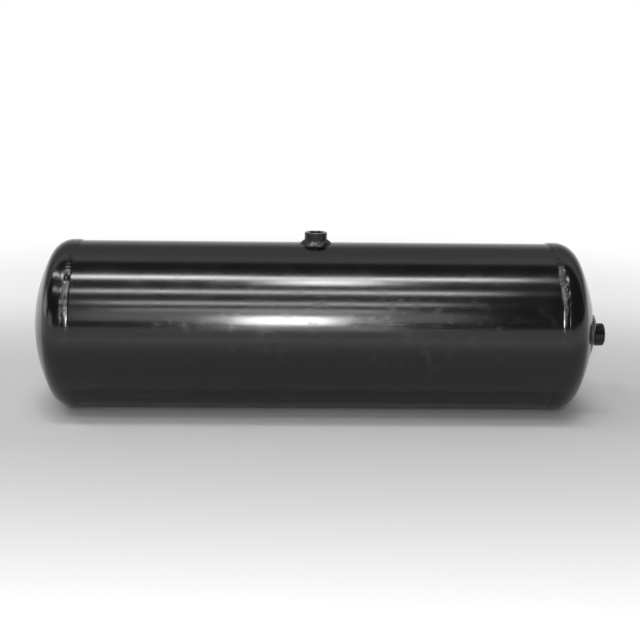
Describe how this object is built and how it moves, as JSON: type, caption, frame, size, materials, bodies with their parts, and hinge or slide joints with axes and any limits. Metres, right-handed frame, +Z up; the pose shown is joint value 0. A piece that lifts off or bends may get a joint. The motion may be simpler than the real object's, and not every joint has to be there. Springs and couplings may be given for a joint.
{
  "type": "horizontal pressure tank",
  "caption": "Black painted welded steel air reservoir lying on its side, with a rolled shell, dished ends and threaded port bosses on the top and on one end.",
  "frame": {"origin": "point of the ground line under the middle of the tank, at the lowest line of the two head skirts, where a cradle takes it", "axes": "+X along the tank towards the end with the port, +Z up through the top port, the end port set off towards -Y"},
  "size_m": [0.8278, 0.2492, 0.2636],
  "materials": {
    "shell_paint": "gloss black paint",
    "left_head_paint": "gloss black paint",
    "right_head_paint": "gloss black paint",
    "weld_paint": "gloss black paint over weld",
    "boss_paint": "gloss black paint over turned steel"
  },
  "bodies": {
    "root": {"shell": "shell_paint", "left_head": "left_head_paint", "right_head": "right_head_paint", "left_girth_weld": "weld_paint", "right_girth_weld": "weld_paint", "seam_weld": "weld_paint", "top_port_boss": "boss_paint", "top_port_weld": "weld_paint", "end_port_boss": "boss_paint", "end_port_weld": "weld_paint"}
  },
  "joints": []
}
